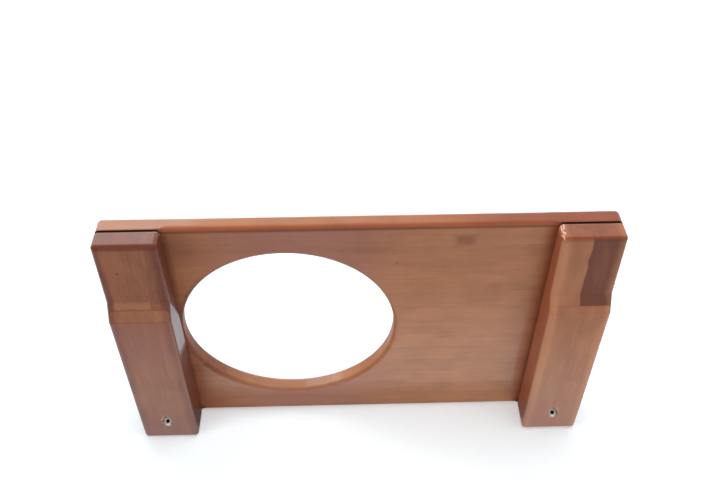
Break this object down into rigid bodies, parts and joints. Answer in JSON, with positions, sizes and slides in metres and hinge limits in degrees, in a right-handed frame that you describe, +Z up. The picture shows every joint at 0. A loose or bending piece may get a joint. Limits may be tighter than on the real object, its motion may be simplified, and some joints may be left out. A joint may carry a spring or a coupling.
{
  "type": "cat wall shelf",
  "caption": "Wall shelf for a cat: a rounded bamboo board with a large round climb-through hole, on stepped wooden brackets with concealed steel wall hangers locked by angled set screws.",
  "frame": {"origin": "middle of the board's rear face, which lies against the wall: halfway along its length and halfway up its thickness", "axes": "+Z up, +Y into the wall, +X to the right for someone who faces the wall; the front edge is at -Y"},
  "size_m": [0.457, 0.272, 0.0494],
  "materials": {
    "board_bamboo": "brown-stained laminated bamboo, satin varnish, grain along the board",
    "bracket_bamboo": "brown-stained laminated bamboo staves, glossy varnish, grain along the bracket",
    "hanger_steel": "bright zinc-plated steel",
    "zinc_plate": "bright zinc plate",
    "dowel_beech": "raw beech with glue flutes"
  },
  "bodies": {
    "root": {"shelf_board": "board_bamboo", "left_bracket": "bracket_bamboo", "left_hanger_plate": "hanger_steel", "left_hanger_rod": "hanger_steel", "left_thread_insert": "zinc_plate", "left_set_screw": "zinc_plate", "left_dowel_1": "dowel_beech", "left_dowel_2": "dowel_beech", "left_dowel_3": "dowel_beech", "left_dowel_4": "dowel_beech", "right_bracket": "bracket_bamboo", "right_hanger_plate": "hanger_steel", "right_hanger_rod": "hanger_steel", "right_thread_insert": "zinc_plate", "right_set_screw": "zinc_plate", "right_dowel_1": "dowel_beech", "right_dowel_2": "dowel_beech", "right_dowel_3": "dowel_beech", "right_dowel_4": "dowel_beech"}
  },
  "joints": []
}
